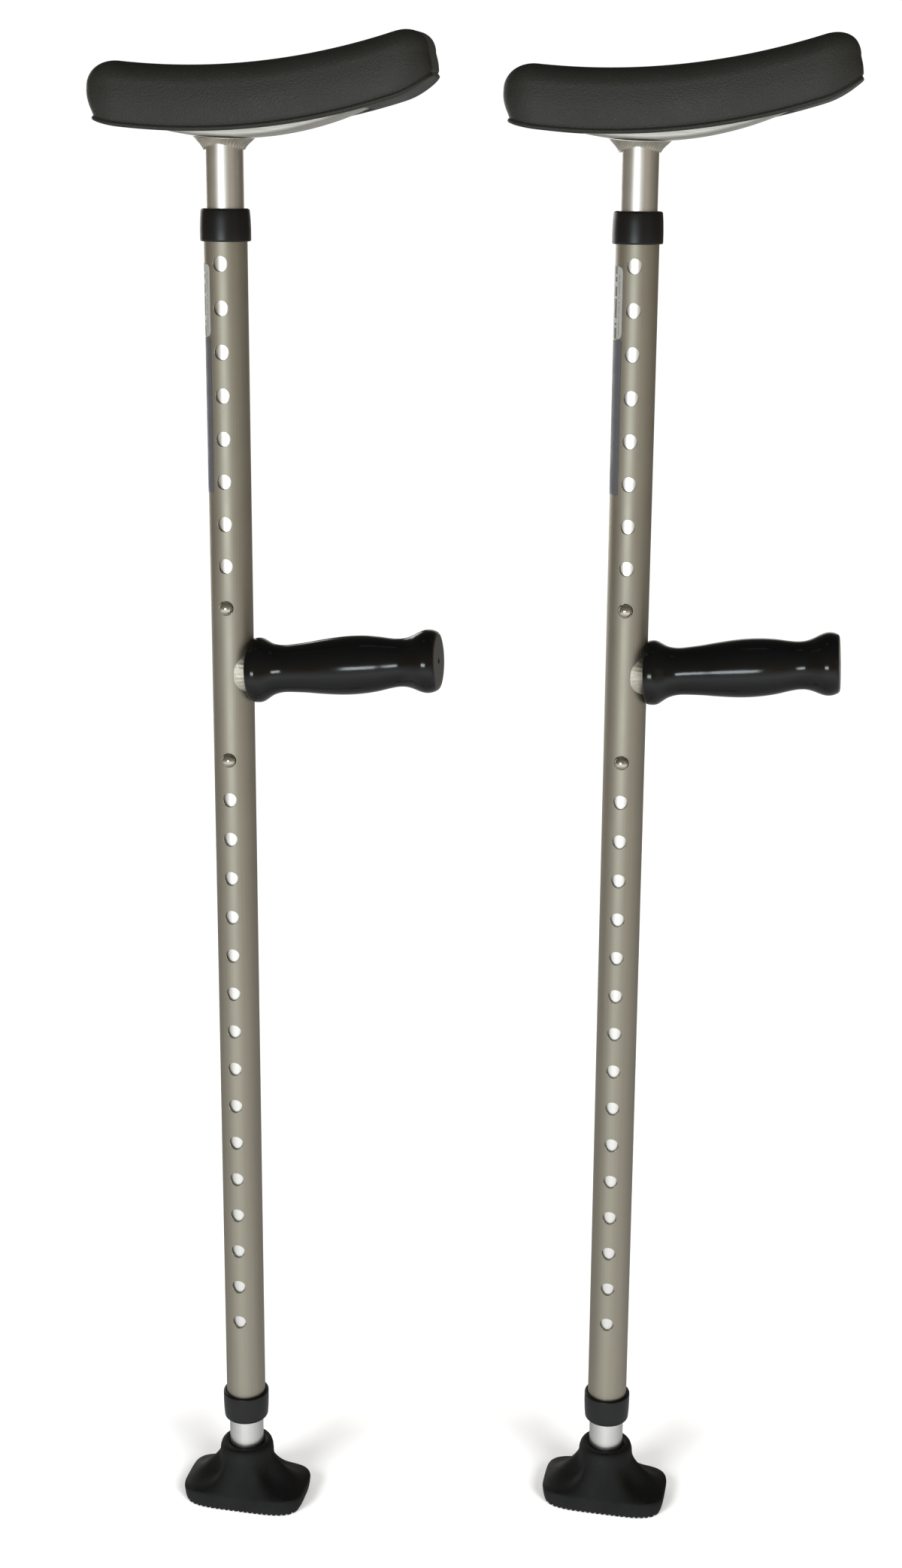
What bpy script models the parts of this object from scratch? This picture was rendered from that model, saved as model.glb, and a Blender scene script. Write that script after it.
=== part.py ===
"""A pair of single-post underarm crutches, each one a telescoping tube with a pad, a grip and a foot.

Each crutch is built in its own frame and hung on an empty: Z runs up the post from the sole, X points
the way the handgrip sticks out, and the row of adjusting holes faces -Y. Both are at their shortest
setting. The frame's origin is the centre of the left crutch's sole. Lengths are in metres.
"""

import math

import bmesh
import bpy
from mathutils import Matrix, Vector

# Driving dimensions ---------------------------------------------------------------------------------

PAIR_OFFSET = (0.2352, 0.0478)      # from the left crutch's post to the right one's, in X and Y

PITCH = 0.0254                      # between adjusting holes
UPPER_HOLES = 9                     # settings of the upper tube
LOWER_HOLES = 16                    # settings of the lower tube
HOLE_RADIUS = 0.0045
HOLE_CUT = (-0.020, -0.003)         # the drill's stroke along Y, through the front wall only
TOP_HOLE_Z = 0.8125                 # highest hole of the upper row
ROW_GAP = 0.0948                    # from the upper row's lowest hole to the lower row's highest
UPPER_BUTTON_Z = TOP_HOLE_Z - (UPPER_HOLES - 1) * PITCH
LOWER_BUTTON_Z = UPPER_BUTTON_Z - ROW_GAP

MAIN_RADIUS = 0.0127                # one inch tube
MAIN_WALL = 0.0012
INNER_RADIUS = 0.0111               # seven eighths of an inch tube
INNER_WALL = 0.0014
TUBE_SIDES = 24
MAIN_BOTTOM_Z = 0.0612
MAIN_TOP_Z = 0.8419
UPPER_TUBE_TAIL = 0.025             # of the upper tube, below its button
LOWER_TUBE_TAIL = 0.027             # of the lower tube, above its button
GAP = 0.0003                        # between touching pieces
CUT_PAST = 0.0080                   # how far a cutter runs past what it cuts

COLLAR_HEIGHT = 0.0187
COLLAR_RADIUS = 0.0149              # at its open end
COLLAR_CROWN_RADIUS = 0.01435       # at its closed end
COLLAR_ROUND = 0.0012               # of the edge at its closed end
COLLAR_HEM = 0.0007                 # bevel at its open end
COLLAR_LIP = 0.0015                 # closes over the end of the main tube

BUTTON_RADIUS = 0.00415
BUTTON_STAND = 0.0034               # how far the dome stands out of the main tube
BUTTON_SIDES = 12
SPRING_LEAF = 0.0008
SPRING_WIDTH = 0.0060
SPRING_TAIL = 0.012                 # of the legs, below the button's axis
SPRING_NECK = 0.008                 # where the legs start to close in, above it
SPRING_BEND = 0.030                 # centre of the bend
SPRING_BEND_RADIUS = 0.0040
INNER_BORE = (INNER_RADIUS - INNER_WALL) * math.cos(math.pi / TUBE_SIDES)     # across its flats
SPRING_FACE = math.sqrt(INNER_BORE ** 2 - (SPRING_WIDTH / 2) ** 2) - GAP

FOOT_HALF_LENGTH = 0.0412
FOOT_HALF_WIDTH = 0.0244
FOOT_HEIGHT = 0.0405
SKIRT_HEIGHT = 0.0110
SKIRT_PROFILE = [(0.0, 0.945), (0.0015, 0.960), (0.0066, 0.985), (0.0094, 0.990)]   # height, share of the base
NECK_RADIUS = 0.01775
NECK_FOOT_Z = 0.0330                # where the slopes run out into the neck
NECK_RIM = [(0.0030, 0.0005), (0.0012, 0.0011), (0.0, 0.0024)]     # below the top, inside the neck's radius
WING_SPREAD = 0.975                 # of the slopes at the skirt's top, as a share of the base
BASE_POWER = 4.2                    # how square the base is: 2 would be an ellipse
SLOPE_STEEPNESS = 1.35              # 1 is a straight slope up to the neck, and more is hollow
HOLLOW_STEEPNESS = 2.7              # added in the middle of each of the four hollows
HOLLOW_ANGLE = math.radians(30)     # from the foot's long axis to the middle of a hollow
HOLLOW_WIDTH = math.radians(15)
FOOT_BORE_FLOOR = 0.0095
WASHER_BORE = 0.0035
WASHER_TOP_Z = FOOT_BORE_FLOOR + GAP + 0.0018
TREAD_PITCH = 0.0076
TREAD_GROOVES = 8
TREAD_WIDTH = 0.0022
TREAD_DEPTH = 0.0018

GRIP_RISE = math.tan(math.radians(5.9))    # the grip climbs away from the post
GRIP_AXIS_Z = 0.5677                # where the grip's axis crosses the post's
GRIP_TILT = 0.061                   # lean of its turned sections, top towards the post
GRIP_START = 0.0120                 # along the grip's axis, from the post's
GRIP_END = 0.1282
STUB_RADIUS = 0.0095
STUB_WALL = 0.0015
STUB_END = 0.1180
HANDLE_WELD_RADIUS = 0.0122
HANDLE_WELD_TOE = 0.0106            # its radius at its outer end
FLANGE_RADIUS = 0.0184              # of the grip's end face
FLANGE_CUP = (0.0128, 0.0024)       # hollow in that face for the weld: radius and depth
END_DISC_RADIUS = 0.0158            # of the grip's far end
VENT_RADIUS = 0.0015                # hole in the grip's far end

SADDLE_RADIUS = 0.190               # of the saddle's lower line, seen from the side
SADDLE_BOTTOM_Z = 0.8831
SADDLE_CENTRE_X = 0.006
SADDLE_REACH = (-0.046, 0.086)
SADDLE_HALF_WIDTH = 0.0150
SADDLE_THICKNESS = 0.0080
SADDLE_EDGE = 0.0032                # height of its side faces' lower edge
SADDLE_CROWN = 0.0010               # fall of its underside towards the middle
SADDLE_STATIONS = 15

ARMREST_WELD_RADIUS = 0.0119
ARMREST_WELD_SIDE = 0.0012          # flare at the sides of the post
ARMREST_WELD_END = 0.0060           # flare ahead of the post and behind it
ARMREST_WELD_RISE = [(0.8782, 0.0), (0.8802, 0.30), (0.8820, 0.62), (0.8850, 1.0)]   # height, flare

PAD_REACH = (-0.0788, 0.1228)
PAD_HALF_WIDTH = 0.0210
PAD_TOP_LOW = (-0.016, 0.9236)      # lowest point of the pad's top line, in X and Z
PAD_TOP_RADIUS = 0.410
PAD_BASE_LOW = (-0.015, 0.8868)     # lowest point of its bottom line
PAD_BASE_RADIUS = 0.405
PAD_END_ROUND = 0.0180              # of the upper corners, seen from the side
PAD_PLAN_ROUND = 0.0120             # of the corners, seen from above
PAD_END_LIFT = 0.0030               # of the bottom line at each end
PAD_CROWN = 0.0150                  # height of the rounded upper part
PAD_HEM = 0.0020                    # bevel along the lower edges
PAD_STATIONS = 26

LABEL_EDGE = 238                    # degrees round the post, from +X towards +Y
LABEL_FLATS = 6                     # flats of the tube that it covers whole, past its edge
LABEL_STAND = 0.00010               # clear of the tube
LABEL_THICKNESS = 0.00015
SIZE_LABEL_Z = (0.7707, 0.8123)
STRIP_LABEL_Z = (0.6786, 0.7697)

# Colour (linear), roughness and metallic value of each material
FINISHES = {
    "champagne_anodised": ((0.26, 0.235, 0.185), 0.32, 1.0),
    "bright_aluminium": ((0.62, 0.60, 0.56), 0.25, 1.0),
    "weld_metal": ((0.60, 0.56, 0.48), 0.40, 1.0),
    "steel": ((0.45, 0.44, 0.42), 0.20, 1.0),
    "black_plastic": ((0.012, 0.012, 0.013), 0.45, 0.0),
    "gloss_black": ((0.006, 0.006, 0.008), 0.12, 0.0),
    "black_rubber": ((0.014, 0.014, 0.014), 0.75, 0.0),
    "pad_skin": ((0.016, 0.015, 0.013), 0.65, 0.0),
    "white_label": ((0.75, 0.74, 0.70), 0.50, 0.0),
    "blue_label": ((0.22, 0.27, 0.33), 0.50, 0.0),
}


# Scene helpers --------------------------------------------------------------------------------------

def clear_scene():
    for item in list(bpy.data.objects):
        bpy.data.objects.remove(item, do_unlink=True)


def new_collection(name):
    collection = bpy.data.collections.new(name)
    bpy.context.scene.collection.children.link(collection)
    return collection


def make_materials():
    materials = {}
    for name, (color, roughness, metallic) in FINISHES.items():
        material = bpy.data.materials.new(name)
        material.use_nodes = True
        shader = material.node_tree.nodes["Principled BSDF"]
        shader.inputs["Base Color"].default_value = (*color, 1.0)
        shader.inputs["Roughness"].default_value = roughness
        shader.inputs["Metallic"].default_value = metallic
        materials[name] = material
    return materials


clear_scene()
PARTS = new_collection("underarm_crutches")
CUTTERS = new_collection("cutters")
MATERIALS = make_materials()


class Crutch:
    """Names the pieces of one crutch and hangs them on its empty."""

    def __init__(self, side, x, y):
        self.side = side
        self.root = bpy.data.objects.new(f"{side}_crutch", None)
        self.root.location = (x, y, 0)
        PARTS.objects.link(self.root)

    def place(self, name, mesh, finish, location=(0, 0, 0), rotation=(0, 0, 0)):
        mesh.materials.clear()
        mesh.materials.append(MATERIALS[finish])
        piece = bpy.data.objects.new(f"{self.side}_{name}", mesh)
        piece.parent = self.root
        piece.location = location
        piece.rotation_euler = rotation
        PARTS.objects.link(piece)
        mesh.shade_smooth()
        mesh.set_sharp_from_angle(angle=math.radians(35))
        return piece

    def cut(self, piece, name, mesh, location=(0, 0, 0), rotation=(0, 0, 0)):
        cutter = bpy.data.objects.new(f"{self.side}_{name}", mesh)
        cutter.parent = self.root
        cutter.location = location
        cutter.rotation_euler = rotation
        cutter.hide_render = True
        cutter.display_type = "WIRE"
        CUTTERS.objects.link(cutter)
        boolean = piece.modifiers.new(name, "BOOLEAN")
        boolean.operation = "DIFFERENCE"
        boolean.object = cutter
        return cutter


# Shape helpers --------------------------------------------------------------------------------------

def profile_mesh(name, points):
    """A closed outline of (radius, height) points in the XZ plane, for the Screw modifier."""
    mesh = bpy.data.meshes.new(name)
    vertices = [(radius, 0, height) for radius, height in points]
    edges = [(i, (i + 1) % len(points)) for i in range(len(points))]
    mesh.from_pydata(vertices, edges, [])
    return mesh


def turn(piece, steps=TUBE_SIDES):
    screw = piece.modifiers.new("turn", "SCREW")
    screw.axis = "Z"
    screw.angle = math.tau
    screw.steps = steps
    screw.render_steps = steps
    screw.use_merge_vertices = True
    screw.merge_threshold = 0.00001
    screw.use_smooth_shade = True
    return piece


def ring_profile(outer, inner, bottom, top):
    return [(outer, top), (outer, bottom), (inner, bottom), (inner, top)]


def cylinder_mesh(name, radius, low, high, sides, axis="Z"):
    mesh = bpy.data.meshes.new(name)
    shape = bmesh.new()
    add_cylinder(shape, radius, low, high, sides, axis)
    shape.to_mesh(mesh)
    shape.free()
    return mesh


def add_cylinder(shape, radius, low, high, sides, axis="Z", centre=(0, 0, 0)):
    """Adds a capped cylinder that runs from low to high along an axis through a point."""
    turns = {"Z": Matrix.Identity(4), "Y": Matrix.Rotation(math.radians(-90), 4, "X")}
    matrix = Matrix.Translation(centre) @ turns[axis] @ Matrix.Translation((0, 0, (low + high) / 2))
    bmesh.ops.create_cone(shape, cap_ends=True, segments=sides, radius1=radius, radius2=radius,
                          depth=high - low, matrix=matrix)


def hole_row_mesh(name, heights):
    """Cutters for round holes through the front wall of a tube, one at each height."""
    mesh = bpy.data.meshes.new(name)
    shape = bmesh.new()
    for height in heights:
        add_cylinder(shape, HOLE_RADIUS, *HOLE_CUT, BUTTON_SIDES, "Y", (0, 0, height))
    shape.to_mesh(mesh)
    shape.free()
    return mesh


def loft_mesh(name, rings):
    """Joins rings of equally many points into a closed body, with a face over each end."""
    mesh = bpy.data.meshes.new(name)
    shape = bmesh.new()
    loops = [[shape.verts.new(point) for point in ring] for ring in rings]
    count = len(loops[0])
    for lower, upper in zip(loops, loops[1:]):
        for i in range(count):
            j = (i + 1) % count
            shape.faces.new((lower[i], lower[j], upper[j], upper[i]))
    shape.faces.new(reversed(loops[0]))
    shape.faces.new(loops[-1])
    bmesh.ops.recalc_face_normals(shape, faces=shape.faces)
    shape.to_mesh(mesh)
    shape.free()
    return mesh


def arc(centre, radius, start, stop, count):
    """Points on an arc, both ends included; angles in degrees."""
    angles = [math.radians(start + (stop - start) * i / (count - 1)) for i in range(count)]
    return [(centre[0] + radius * math.cos(a), centre[1] + radius * math.sin(a)) for a in angles]


def arc_height(x, low, radius):
    """Height at x of an arc of a given radius whose lowest point is given."""
    return low[1] + radius - math.sqrt(radius ** 2 - (x - low[0]) ** 2)


def polar(angle, reach, height):
    return (reach * math.cos(angle), reach * math.sin(angle), height)


# Tubes, collars and labels --------------------------------------------------------------------------

def make_main_tube(crutch):
    profile = ring_profile(MAIN_RADIUS, MAIN_RADIUS - MAIN_WALL, MAIN_BOTTOM_Z, MAIN_TOP_Z)
    tube = crutch.place("main_tube", profile_mesh("main_tube", profile), "champagne_anodised")
    turn(tube)
    heights = [TOP_HOLE_Z - i * PITCH for i in range(UPPER_HOLES)]
    heights += [LOWER_BUTTON_Z - i * PITCH for i in range(LOWER_HOLES)]
    crutch.cut(tube, "adjusting_holes", hole_row_mesh("adjusting_holes", heights))


def make_inner_tube(crutch, name, span, button_z):
    profile = ring_profile(INNER_RADIUS, INNER_RADIUS - INNER_WALL, *span)
    tube = crutch.place(name, profile_mesh(name, profile), "bright_aluminium")
    turn(tube)
    crutch.cut(tube, f"{name}_hole", hole_row_mesh(f"{name}_hole", [button_z]))


def make_collar(crutch, name, end_z, upward):
    """A cap on the end of the main tube; its lip closes in to the inner tube."""
    direction = 1 if upward else -1
    lip_in = INNER_RADIUS + GAP
    skirt_in = MAIN_RADIUS + GAP
    crest = GAP + COLLAR_LIP
    hem = crest - COLLAR_HEIGHT
    crown = arc((COLLAR_CROWN_RADIUS - COLLAR_ROUND, crest - COLLAR_ROUND), COLLAR_ROUND, 90, 0, 3)
    outline = [(lip_in, crest), *crown, (COLLAR_RADIUS, hem + COLLAR_HEM),
               (COLLAR_RADIUS - COLLAR_HEM, hem), (skirt_in, hem), (skirt_in, GAP), (lip_in, GAP)]
    points = [(radius, direction * height) for radius, height in outline]
    if not upward:
        points.reverse()
    collar = crutch.place(name, profile_mesh(name, points), "black_plastic", (0, 0, end_z))
    turn(collar)


def label_mesh(name, low, high):
    """A thin sheet bent round the main tube's flats."""
    flat = math.tau / TUBE_SIDES
    first = math.floor(math.radians(LABEL_EDGE) / flat)
    angles = [math.radians(LABEL_EDGE)] + [flat * (first - i) for i in range(LABEL_FLATS + 1)]
    rings = []
    for height in (low, high):
        inner = []
        outer = []
        for angle in angles:
            off_centre = angle % flat - flat / 2
            face = MAIN_RADIUS * math.cos(flat / 2) / math.cos(off_centre)
            for radius, side in ((face + LABEL_STAND, inner), (face + LABEL_STAND + LABEL_THICKNESS, outer)):
                side.append((radius * math.cos(angle), radius * math.sin(angle), height))
        rings.append(outer + inner[::-1])
    return loft_mesh(name, rings)


# Snap buttons ---------------------------------------------------------------------------------------

def make_button(crutch, name, height):
    """A domed button; its own axis is the line that it is pressed along."""
    base = SPRING_FACE + GAP
    top = MAIN_RADIUS + BUTTON_STAND
    dome = [(BUTTON_RADIUS * math.cos(a), MAIN_RADIUS + BUTTON_STAND * math.sin(a))
            for a in (math.radians(i * 18) for i in range(5))]
    points = [(0, base), (BUTTON_RADIUS, base)] + dome + [(0, top)]
    mesh = bpy.data.meshes.new(name)
    mesh.from_pydata([(radius, 0, z) for radius, z in reversed(points)],
                     [(i, i + 1) for i in range(len(points) - 1)], [])
    button = crutch.place(name, mesh, "steel", (0, 0, height), (math.radians(90), 0, 0))
    turn(button, BUTTON_SIDES)


def make_spring(crutch, name, height):
    """A leaf bent into a V: its front leg backs the button, its rear leg bears on the tube."""
    leg = SPRING_FACE - SPRING_LEAF / 2
    centre_line = [(-leg, -SPRING_TAIL), (-leg, SPRING_NECK)]
    centre_line += arc((0, SPRING_BEND), SPRING_BEND_RADIUS, 170, 10, 7)
    centre_line += [(leg, SPRING_NECK), (leg, -SPRING_TAIL)]
    curve = bpy.data.curves.new(name, "CURVE")
    curve.dimensions = "2D"
    curve.fill_mode = "BOTH"
    curve.extrude = SPRING_WIDTH / 2
    outline = offset_line(centre_line, SPRING_LEAF / 2) + offset_line(centre_line, -SPRING_LEAF / 2)[::-1]
    spline = curve.splines.new("POLY")
    spline.points.add(len(outline) - 1)
    for point, (x, y) in zip(spline.points, outline):
        point.co = (x, y, 0, 1)
    spline.use_cyclic_u = True
    guide = bpy.data.objects.new(f"{name}_outline", curve)
    CUTTERS.objects.link(guide)
    bpy.context.view_layer.update()
    mesh = bpy.data.meshes.new_from_object(guide.evaluated_get(bpy.context.evaluated_depsgraph_get()))
    bpy.data.objects.remove(guide, do_unlink=True)
    shape = bmesh.new()
    shape.from_mesh(mesh)
    bmesh.ops.remove_doubles(shape, verts=shape.verts, dist=0.000001)
    bmesh.ops.recalc_face_normals(shape, faces=shape.faces)
    shape.to_mesh(mesh)
    shape.free()
    crutch.place(name, mesh, "steel", (0, 0, height), (math.radians(90), 0, math.radians(90)))


def offset_line(points, distance):
    """The line moved sideways, to its left for a positive distance."""
    moved = []
    for i, point in enumerate(points):
        before = Vector(points[max(i - 1, 0)])
        after = Vector(points[min(i + 1, len(points) - 1)])
        along = (after - before).normalized()
        moved.append((point[0] - along.y * distance, point[1] + along.x * distance))
    return moved


# Handle ---------------------------------------------------------------------------------------------

GRIP_STATIONS = [(0.0145, 0.0195), (0.0168, 0.0197), (0.0200, 0.0189), (0.0250, 0.0159), (0.0335, 0.0143),
                 (0.0470, 0.0153), (0.0600, 0.0169), (0.0740, 0.0177), (0.0890, 0.0167), (0.1030, 0.0145),
                 (0.1090, 0.0149), (0.1160, 0.0177), (0.1222, 0.0190), (0.1262, 0.0181)]    # distance, radius


def handle_mesh(name, points):
    """Turned about the grip's axis, then leaned: it climbs, and its ends lean back a little."""
    guide = bpy.data.objects.new(name, profile_mesh(name, points))
    CUTTERS.objects.link(guide)
    turn(guide)
    bpy.context.view_layer.update()
    mesh = bpy.data.meshes.new_from_object(guide.evaluated_get(bpy.context.evaluated_depsgraph_get()))
    bpy.data.objects.remove(guide, do_unlink=True)
    mesh.transform(Matrix(((GRIP_TILT, 0, 1, 0), (0, 1, 0, 0), (-1, 0, GRIP_RISE, 0), (0, 0, 0, 1))))
    return mesh


def make_handle(crutch):
    start = (0, 0, GRIP_AXIS_Z)
    reach = 2 * FLANGE_RADIUS
    post = cylinder_mesh("post_clearance", MAIN_RADIUS + GAP, GRIP_AXIS_Z - reach, GRIP_AXIS_Z + reach,
                         TUBE_SIDES)
    root = MAIN_RADIUS / 4

    tube = ring_profile(STUB_RADIUS, STUB_RADIUS - STUB_WALL, root, STUB_END)
    stub = crutch.place("handle_stub", handle_mesh("handle_stub", tube), "bright_aluminium", start)
    crutch.cut(stub, "stub_notch", post)

    bore = STUB_RADIUS + GAP
    toe = GRIP_START + FLANGE_CUP[1] - 2 * GAP
    slope = [(HANDLE_WELD_TOE, toe), ((HANDLE_WELD_TOE + HANDLE_WELD_RADIUS) / 2, toe * 0.8),
             (HANDLE_WELD_RADIUS, toe / 2)]
    fillet = [*slope, (HANDLE_WELD_RADIUS, root), (bore, root), (bore, toe)]
    weld = crutch.place("handle_weld", handle_mesh("handle_weld", fillet), "weld_metal", start)
    crutch.cut(weld, "weld_notch", post)

    cup_radius, cup_depth = FLANGE_CUP
    cup_floor = GRIP_START + cup_depth
    outline = [(VENT_RADIUS, GRIP_END), (END_DISC_RADIUS, GRIP_END)]
    outline += [(radius, distance) for distance, radius in reversed(GRIP_STATIONS)]
    outline += [(FLANGE_RADIUS, GRIP_START), (cup_radius, GRIP_START), (cup_radius, cup_floor),
                (bore, cup_floor), (bore, STUB_END + GAP), (VENT_RADIUS, STUB_END + GAP)]
    grip = crutch.place("hand_grip", handle_mesh("hand_grip", outline), "gloss_black", start)
    crutch.cut(grip, "grip_notch", post.copy())


# Saddle, weld and pad -------------------------------------------------------------------------------

def saddle_ring(x, lower, upper, half_width, edge):
    """The saddle's section at x, square to its arc: its underside is crowned."""
    drop = x - SADDLE_CENTRE_X
    lean = math.asin(drop / SADDLE_RADIUS)
    foot = Vector((x, 0, arc_height(x, (SADDLE_CENTRE_X, SADDLE_BOTTOM_Z), SADDLE_RADIUS)))
    up = Vector((-math.sin(lean), 0, math.cos(lean)))
    side = Vector((0, 1, 0))
    under = [(across, lower + SADDLE_CROWN * across ** 4) for across in (0.9, 0.5, 0, -0.5, -0.9)]
    section = [(-1, upper), (1, upper), (1, edge), *under, (-1, edge)]
    return [foot + side * (half_width * across) + up * height for across, height in section]


def saddle_stations(extra=0.0):
    low, high = SADDLE_REACH[0] - extra, SADDLE_REACH[1] + extra
    return [low + (high - low) * i / (SADDLE_STATIONS - 1) for i in range(SADDLE_STATIONS)]


def make_saddle(crutch):
    rings = [saddle_ring(x, 0, SADDLE_THICKNESS, SADDLE_HALF_WIDTH, SADDLE_EDGE) for x in saddle_stations()]
    crutch.place("armrest_saddle", loft_mesh("armrest_saddle", rings), "bright_aluminium")


def make_armrest_weld(crutch):
    """A ring round the tube's end that flares out under the saddle, ahead of the tube and behind it."""
    rings = []
    for height, flare in ARMREST_WELD_RISE:
        ring = []
        for i in range(TUBE_SIDES):
            angle = math.tau * i / TUBE_SIDES
            lengthways = abs(math.cos(angle)) ** 1.5
            spread = ARMREST_WELD_SIDE + (ARMREST_WELD_END - ARMREST_WELD_SIDE) * lengthways
            ring.append(polar(angle, ARMREST_WELD_RADIUS + flare * spread, height))
        rings.append(ring)
    weld = crutch.place("armrest_weld", loft_mesh("armrest_weld", rings), "weld_metal")
    low, high = ARMREST_WELD_RISE[0][0], ARMREST_WELD_RISE[-1][0]
    bore = cylinder_mesh("weld_bore", INNER_RADIUS + GAP, low - CUT_PAST, high + CUT_PAST, TUBE_SIDES)
    crutch.cut(weld, "weld_bore", bore)
    relief = [saddle_ring(x, -GAP, SADDLE_THICKNESS, 2 * SADDLE_HALF_WIDTH, SADDLE_EDGE / 2)
              for x in saddle_stations()]
    crutch.cut(weld, "weld_relief", loft_mesh("weld_relief", relief))


def pad_rings():
    """Sections of the pad, square to X: flat below, crowned above, closing in at both ends."""
    rear, front = PAD_REACH
    rings = []
    for i in range(PAD_STATIONS + 1):
        x = (rear + front) / 2 - math.cos(math.pi * i / PAD_STATIONS) * (front - rear) / 2 * 0.9995
        from_end = min(x - rear, front - x)
        base = arc_height(x, PAD_BASE_LOW, PAD_BASE_RADIUS) + max(PAD_END_LIFT - from_end, 0.0)
        top = arc_height(x, PAD_TOP_LOW, PAD_TOP_RADIUS) - round_off(from_end, PAD_END_ROUND)
        half_width = PAD_HALF_WIDTH - round_off(from_end, PAD_PLAN_ROUND)
        rings.append(pad_section(x, base, top, half_width))
    return rings


def round_off(from_end, radius):
    """How far a rounded corner falls short of the square one, at a distance from the end."""
    inside = max(radius - from_end, 0.0)
    return radius - math.sqrt(radius ** 2 - inside ** 2)


def pad_section(x, base, top, half_width):
    crown = min(PAD_CROWN, (top - base) * 0.45)
    points = [(x, -half_width * 0.96, base), (x, half_width * 0.96, base)]
    points.append((x, half_width, base + PAD_HEM))
    for step in range(11):
        across = math.cos(math.pi * step / 10)
        fullness = math.copysign(abs(across) ** 0.62, across) if step != 5 else 0.0
        rise = math.sin(math.pi * step / 10) ** 0.8 if 0 < step < 10 else 0.0
        points.append((x, half_width * fullness, top - crown + crown * rise))
    points.append((x, -half_width, base + PAD_HEM))
    return points


def make_pad(crutch):
    pad = crutch.place("underarm_pad", loft_mesh("underarm_pad", pad_rings()), "pad_skin")
    slot = [saddle_ring(x, -2 * CUT_PAST, SADDLE_THICKNESS + GAP, SADDLE_HALF_WIDTH + GAP, -CUT_PAST)
            for x in saddle_stations(extra=GAP)]
    crutch.cut(pad, "saddle_slot", loft_mesh("saddle_slot", slot))


# Foot -----------------------------------------------------------------------------------------------

def foot_base_reach(angle):
    """Distance from the post to the base's edge: a rectangle with full sides and round corners."""
    across = abs(math.cos(angle)) / FOOT_HALF_LENGTH
    along = abs(math.sin(angle)) / FOOT_HALF_WIDTH
    return (across ** BASE_POWER + along ** BASE_POWER) ** (-1 / BASE_POWER)


def wing_reach(angle, rise):
    """Distance from the post to the slopes, a share of the way up from the skirt to the neck."""
    folded = math.atan2(abs(math.sin(angle)), abs(math.cos(angle)))
    hollow = math.exp(-((folded - HOLLOW_ANGLE) / HOLLOW_WIDTH) ** 2)
    steepness = SLOPE_STEEPNESS + HOLLOW_STEEPNESS * hollow
    return NECK_RADIUS + (foot_base_reach(angle) * WING_SPREAD - NECK_RADIUS) * (1 - rise) ** steepness


def foot_rings():
    """The skirt, then slopes up to the neck from its ends and sides, with four hollows between them."""
    sides = 32
    angles = [math.tau * i / sides for i in range(sides)]
    skirt = [*SKIRT_PROFILE, (SKIRT_HEIGHT, WING_SPREAD)]
    rings = [[polar(angle, foot_base_reach(angle) * spread, height) for angle in angles]
             for height, spread in skirt]
    for rise in (0.14, 0.32, 0.52, 0.74, 1.0):
        height = SKIRT_HEIGHT + rise * (NECK_FOOT_Z - SKIRT_HEIGHT)
        rings.append([polar(angle, wing_reach(angle, rise), height) for angle in angles])
    for below, inside in NECK_RIM:
        rings.append([polar(angle, NECK_RADIUS - inside, FOOT_HEIGHT - below) for angle in angles])
    return rings


def make_foot(crutch):
    foot = crutch.place("foot_tip", loft_mesh("foot_tip", foot_rings()), "black_rubber")
    bore = cylinder_mesh("foot_bore", INNER_RADIUS + GAP, FOOT_BORE_FLOOR, FOOT_HEIGHT + CUT_PAST, TUBE_SIDES)
    crutch.cut(foot, "foot_bore", bore)
    grooves = bpy.data.meshes.new("tread_grooves")
    shape = bmesh.new()
    for i in range(TREAD_GROOVES):
        x = (i - (TREAD_GROOVES - 1) / 2) * TREAD_PITCH
        size = (TREAD_WIDTH, 3 * FOOT_HALF_WIDTH, 2 * TREAD_DEPTH, 1)
        matrix = Matrix.Translation((x, 0, 0)) @ Matrix.Diagonal(size)
        bmesh.ops.create_cube(shape, size=1.0, matrix=matrix)
    shape.to_mesh(grooves)
    shape.free()
    crutch.cut(foot, "tread_grooves", grooves)

    profile = ring_profile(INNER_RADIUS, WASHER_BORE, FOOT_BORE_FLOOR + GAP, WASHER_TOP_Z)
    washer = crutch.place("foot_washer", profile_mesh("foot_washer", profile), "steel")
    turn(washer)


# Assembly -------------------------------------------------------------------------------------------

def build_crutch(side, x, y):
    crutch = Crutch(side, x, y)
    lower_tube_z = (WASHER_TOP_Z + GAP, LOWER_BUTTON_Z + LOWER_TUBE_TAIL)
    upper_tube_z = (UPPER_BUTTON_Z - UPPER_TUBE_TAIL, SADDLE_BOTTOM_Z - GAP)
    make_foot(crutch)
    make_inner_tube(crutch, "lower_tube", lower_tube_z, LOWER_BUTTON_Z)
    make_spring(crutch, "lower_spring", LOWER_BUTTON_Z)
    make_button(crutch, "lower_button", LOWER_BUTTON_Z)
    make_main_tube(crutch)
    make_collar(crutch, "lower_collar", MAIN_BOTTOM_Z, upward=False)
    make_collar(crutch, "upper_collar", MAIN_TOP_Z, upward=True)
    crutch.place("size_label", label_mesh("size_label", *SIZE_LABEL_Z), "white_label")
    crutch.place("strip_label", label_mesh("strip_label", *STRIP_LABEL_Z), "blue_label")
    make_handle(crutch)
    make_inner_tube(crutch, "upper_tube", upper_tube_z, UPPER_BUTTON_Z)
    make_spring(crutch, "upper_spring", UPPER_BUTTON_Z)
    make_button(crutch, "upper_button", UPPER_BUTTON_Z)
    make_saddle(crutch)
    make_armrest_weld(crutch)
    make_pad(crutch)


build_crutch("left", 0.0, 0.0)
build_crutch("right", *PAIR_OFFSET)
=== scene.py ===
import math

import bmesh
import bpy
from mathutils import Matrix, Vector


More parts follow.
